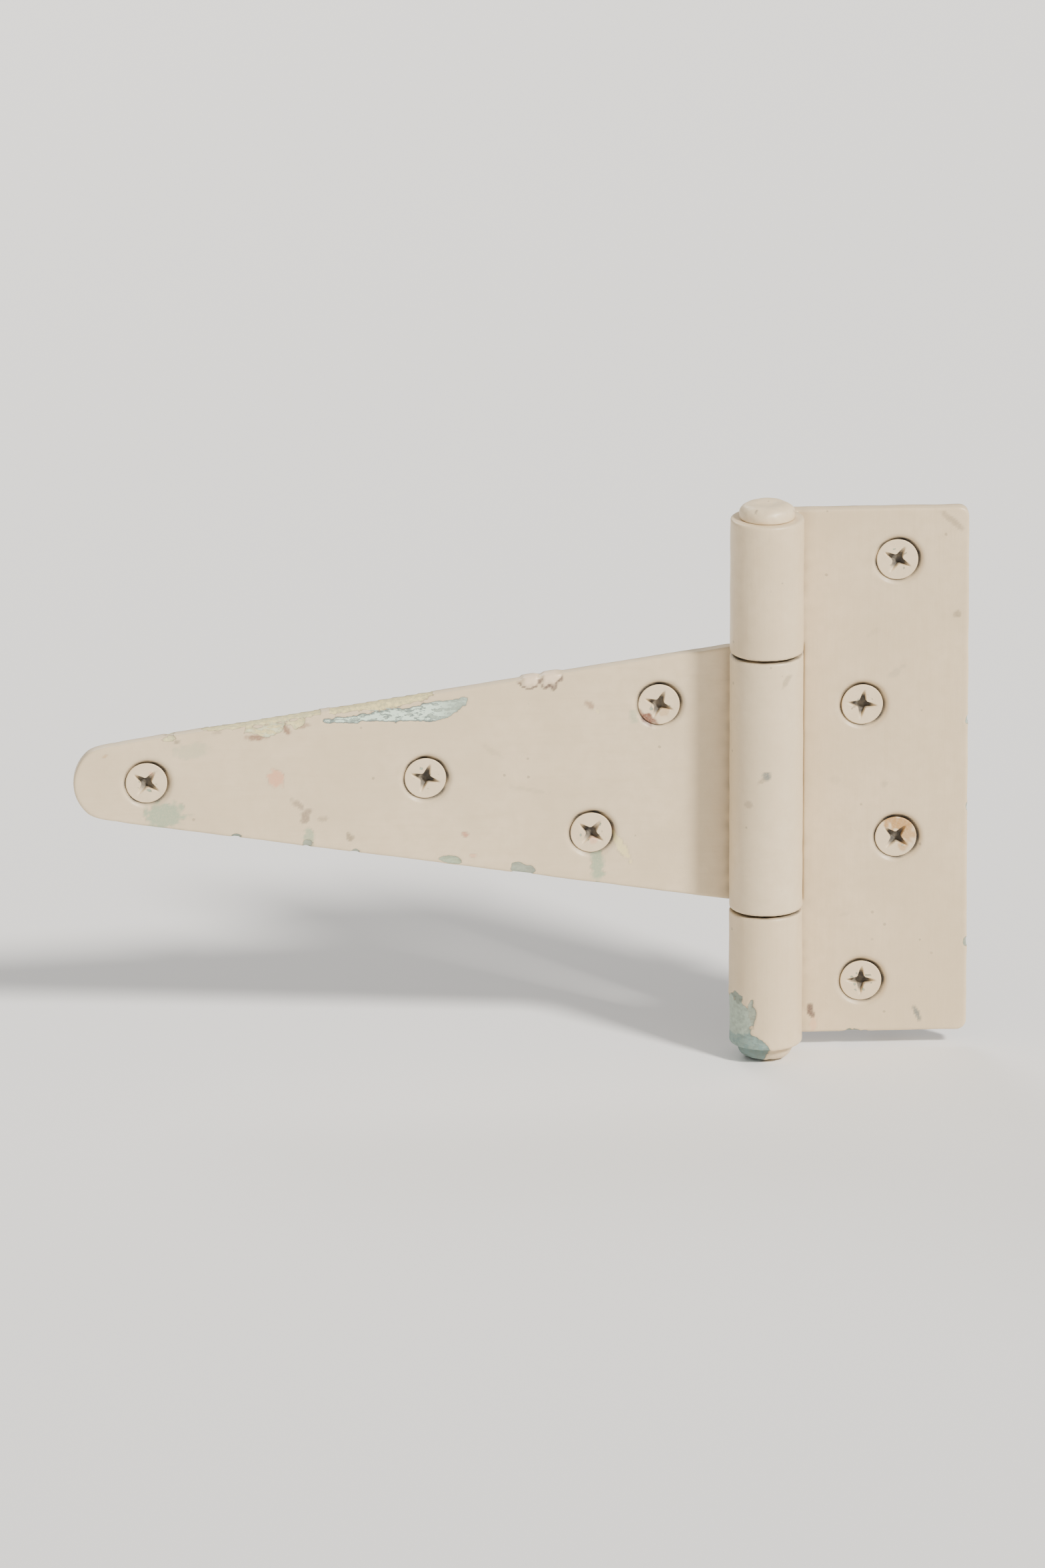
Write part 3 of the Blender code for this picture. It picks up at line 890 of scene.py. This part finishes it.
def cream_paint(g, mm, tone, brush, middling, fine):
    """The top coat: a little uneven, brushed, with sparse dark specks."""
    broad = g.noise(mm, 0.045, 3, 0.55)
    duller, brighter = tone * (0.96, 0.955, 0.945), tone * (1.035, 1.035, 1.04)
    colour = g.mix(g.step(broad, 0.35, 0.65), duller, brighter)
    colour = g.mix(g.step(middling, 0.3, 0.75, 0.0, 0.6), colour, tone * (0.93, 0.915, 0.885))
    colour = g.mix(g.step(brush, 0.45, 0.8, 0.0, 0.4), colour, tone * (0.91, 0.89, 0.86))
    cells = g.nodes.new("ShaderNodeTexVoronoi")
    g.put(cells.inputs["Vector"], mm)
    cells.inputs["Scale"].default_value = 0.38
    chosen = g.nodes.new("ShaderNodeSeparateColor")
    g.put(chosen.inputs[0], cells.outputs["Color"])
    size = g.total((chosen.outputs[1], 0.07), (fine, 0.10))
    near = g.step(g.maths("SUBTRACT", cells.outputs["Distance"], size), 0.0, 0.05, 1.0, 0.0)
    speck = g.maths("MULTIPLY", near, g.step(chosen.outputs[0], 0.90, 0.93))
    return g.mix(g.maths("MULTIPLY", speck, 0.4), colour, SOOT)


def worn_coat(g, mm, edge):
    """What shows in the chips: an older coat, streaked with ice white and slate where it is icy."""
    icy = g.layer("beneath", "Alpha")
    older = g.layer("beneath", "Color")
    mottled = g.mix(g.step(g.noise(mm, 1.1, 4, 0.7), 0.35, 0.65, 0.0, 0.5), older, DEEP_TEAL)
    coat = g.mix(icy, mottled, older)
    streaks = g.noise(g.stretched(mm, (0.55, 1.0, 1.5)), 0.9, 4, 0.65)
    coat = g.mix(g.maths("MULTIPLY", icy, g.step(streaks, 0.42, 0.52)), coat, ICE_WHITE)
    off_line = g.maths("ABSOLUTE", g.maths("SUBTRACT", streaks, 0.47))
    line = g.step(off_line, 0.0, 0.05, 0.95, 0.0)
    rim = g.step(edge, 0.36, 0.85, 0.95, 0.0)
    slate = g.maths("MULTIPLY", icy, g.maths("MAXIMUM", line, rim))
    return g.mix(slate, coat, SLATE)


def rusted_steel(g, mm, middling, fine):
    """Dull grey steel with rust, gathered where the dirt-and-shade layer is strong, and the share of
    rust.
    """
    steel = g.mix(g.step(g.noise(mm, 0.12, 4, 0.6), 0.3, 0.7), STEEL_DARK, STEEL_LIGHT)
    steel = g.mix(g.step(fine, 0.35, 0.75, 0.0, 0.3), steel, STEEL_DARK)
    patches = g.noise(mm, 0.045, 7, 0.66)
    spread = g.total((patches, 1.0), (g.layer("dirt_and_shade"), 0.25), (fine, 0.05), (middling, 0.08))
    rusty = g.step(spread, 0.56, 0.80)
    rust = g.mix(g.step(spread, 0.62, 0.84), RUST_LIGHT, RUST_DARK)
    rust = g.mix(g.step(g.noise(mm, 1.4, 5, 0.7), 0.35, 0.7, 0.0, 0.6), rust, RUST_DARK)
    return g.mix(rusty, steel, rust), rusty


def put_surface(g, brush, middling, fine, chipped, dirt_and_shade_share, bare, rusty):
    """Sets how metallic, how rough and how bumpy the surface is."""
    metallic = g.maths("MULTIPLY", bare, g.step(rusty, 0.0, 0.8, 0.75, 0.0))
    g.put(g.shader.inputs["Metallic"], metallic)

    rusted = g.maths("MULTIPLY", bare, rusty)
    worn = g.maths("MAXIMUM", chipped, g.maths("MAXIMUM", dirt_and_shade_share, rusted))
    rougher = g.step(worn, 0.0, 1.0, 0.0, 0.3)
    roughness = g.total((rougher, 1.0), (middling, 0.16), (brush, 0.10), (0.27, 1.0))
    g.put(g.shader.inputs["Roughness"], roughness)

    paint_relief = ((brush, 0.03), (fine, 0.008), (middling, 0.05))
    rust_relief = g.maths("MULTIPLY", rusted, fine)
    height = g.total(*paint_relief, (chipped, -0.10), (rust_relief, 0.09))
    bump = g.nodes.new("ShaderNodeBump")
    bump.inputs["Distance"].default_value = MM
    g.put(bump.inputs["Height"], height)
    g.put(g.shader.inputs["Normal"], bump.outputs["Normal"])


def painted_steel(name, tone, stroke):
    """Old brushed cream paint; stroke stretches the brush marks along the way the brush went."""
    g = Graph(name)
    coordinates = g.nodes.new("ShaderNodeTexCoord").outputs["Object"]
    mm = g.stretched(coordinates, (1000, 1000, 1000))  # metres to millimetres
    brush = g.noise(g.stretched(mm, stroke), 1.0, 3, 0.6)
    middling = g.noise(mm, 0.4, 3, 0.6)
    fine = g.noise(mm, 3.0, 3, 0.6)

    colour = cream_paint(g, mm, tone, brush, middling, fine)
    stain_share = g.maths("MULTIPLY", g.layer("stain", "Alpha"), g.step(fine, 0.25, 0.6, 0.7, 1.0))
    colour = g.mix(stain_share, colour, g.layer("stain", "Color"))

    # noise makes the chips' outlines ragged, and dirt draws a thin line along them
    edge = g.total((g.noise(mm, 1.3, 5, 0.65), 0.7), (g.layer("chip"), 1.0))
    outline = g.maths("MULTIPLY", g.step(edge, 0.20, 0.33), g.step(edge, 0.33, 0.40, 1.0, 0.0))
    colour = g.mix(g.maths("MULTIPLY", outline, 0.45), colour, SOOT)
    chipped = g.step(edge, 0.33, 0.39)
    colour = g.mix(chipped, colour, worn_coat(g, mm, edge))

    # painted shade in creases, knuckle gaps and recesses, with some dirt, darkens the paint
    dirt_and_shade_share = g.maths("MULTIPLY", g.layer("dirt_and_shade"), g.step(middling, 0.2, 0.7, 0.75, 1.0))
    colour = g.mix(dirt_and_shade_share, colour, DIRT_AND_SHADE)

    # the paint crept raggedly round to the unpainted back
    bare_edge = g.total((g.noise(mm, 0.5, 5, 0.6), 0.7), (g.layer("bare"), 1.0))
    bare = g.step(bare_edge, 0.32, 0.40)
    metal, rusty = rusted_steel(g, mm, middling, fine)
    g.put(g.shader.inputs["Base Color"], g.mix(bare, colour, metal))
    put_surface(g, brush, middling, fine, chipped, dirt_and_shade_share, bare, rusty)
    return g.material


# ---------------------------------------------------------------- stage

# in metres, degrees and Blender's own units of light
LOW, HIGH = (Vector(corner) for corner in CAD_BOX)
LOOK_AT = Vector(((LOW.x + HIGH.x) / 2, PIN[1], 0))
CAMERA_DISTANCE = 4.5
CAMERA_AZIMUTH = -3.2
CAMERA_ELEVATION = 18.0
VIEW_HEIGHT = 0.345
WORLD_STRENGTH = 0.52
WORLD_COLOUR = (1.0, 0.99, 0.97, 1)
KEY_STRENGTH = 5.1
KEY_COLOUR = (1.0, 0.965, 0.91)
KEY_SPREAD = radians(9)
KEY_DIRECTION = (0.966, -1.0, 1.1)
BACK_WATTS = 14
BACK_SIZE = 0.9
BACK_DISTANCE = 2.0
BACK_COLOUR = (1.0, 0.98, 0.95)
BACK_DIRECTION = (-0.5, 1.3, 1.0)
FLOOR_COLOUR = (0.90, 0.89, 0.875, 1)
FLOOR_HALF = 60
FLOOR_GAP = 0.3 * MM  # the hinge stands just clear of the floor, on the pin's lower head


def aim(obj, target):
    """Turns a lamp or camera towards a point."""
    obj.rotation_euler = (Vector(target) - obj.location).to_track_quat("-Z", "Y").to_euler()


def add_lamp(lamp, location):
    """Puts a lamp in the scene, aimed at the hinge."""
    obj = bpy.data.objects.new(lamp.name, lamp)
    bpy.context.scene.collection.objects.link(obj)
    obj.location = location
    aim(obj, LOOK_AT)


def key_light():
    """A wide, soft sun, so the floor is evenly lit out to its far edge."""
    lamp = bpy.data.lights.new("key", "SUN")
    lamp.energy = KEY_STRENGTH
    lamp.angle = KEY_SPREAD
    lamp.color = KEY_COLOUR
    add_lamp(lamp, LOOK_AT + Vector(KEY_DIRECTION))


def back_light():
    """A weak lamp behind, so the back isn't lost in shade."""
    lamp = bpy.data.lights.new("back", "AREA")
    lamp.shape = "DISK"
    lamp.size = BACK_SIZE
    lamp.energy = BACK_WATTS
    lamp.color = BACK_COLOUR
    add_lamp(lamp, LOOK_AT + Vector(BACK_DIRECTION).normalized() * BACK_DISTANCE)


def make_floor(height):
    """A floor so wide that its edge is never seen."""
    bm = bmesh.new()
    bmesh.ops.create_grid(bm, x_segments=1, y_segments=1, size=FLOOR_HALF)
    mesh = bpy.data.meshes.new("floor")
    bm.to_mesh(mesh)
    bm.free()
    floor = bpy.data.objects.new("floor", mesh)
    bpy.context.scene.collection.objects.link(floor)
    floor.location.z = height
    g = Graph("floor")
    g.shader.inputs["Base Color"].default_value = FLOOR_COLOUR
    g.shader.inputs["Roughness"].default_value = 0.9
    mesh.materials.append(g.material)


def make_world():
    """Even white light from all round."""
    world = bpy.data.worlds.new("soft_white")
    world.use_nodes = True
    background = world.node_tree.nodes["Background"]
    background.inputs["Color"].default_value = WORLD_COLOUR
    background.inputs["Strength"].default_value = WORLD_STRENGTH
    bpy.context.scene.world = world


def make_camera():
    """The photo's viewing angle, from far enough that the hinge looks as flat as in the photo."""
    data = bpy.data.cameras.new("camera")
    data.angle = 2 * atan(VIEW_HEIGHT / 2 / CAMERA_DISTANCE)
    camera = bpy.data.objects.new("camera", data)
    bpy.context.scene.collection.objects.link(camera)
    around, above = radians(CAMERA_AZIMUTH), radians(CAMERA_ELEVATION)
    direction = Vector((sin(around) * cos(above), -cos(around) * cos(above), sin(above)))
    camera.location = LOOK_AT + direction * CAMERA_DISTANCE
    aim(camera, LOOK_AT)
    bpy.context.scene.camera = camera


# the brush went along the frame leaf's height and along the strap's length
build_leaf(
    "frame", 1, frame_outline, FRAME_STAINS, FRAME_CHIPS, CREAM_FRAME, (1.1, 1.1, 0.07), seed=200
)
build_leaf(
    "strap", -1, strap_outline, STRAP_STAINS, STRAP_CHIPS, CREAM_STRAP, (0.07, 1.1, 1.1), seed=300
)
fastener_paint = painted_steel("fastener_paint", CREAM_FASTENER, (0.5, 1.1, 1.1))
build_screws(fastener_paint)
build_pin(fastener_paint)

make_world()
make_floor(LOW.z - FLOOR_GAP)
key_light()
back_light()
make_camera()
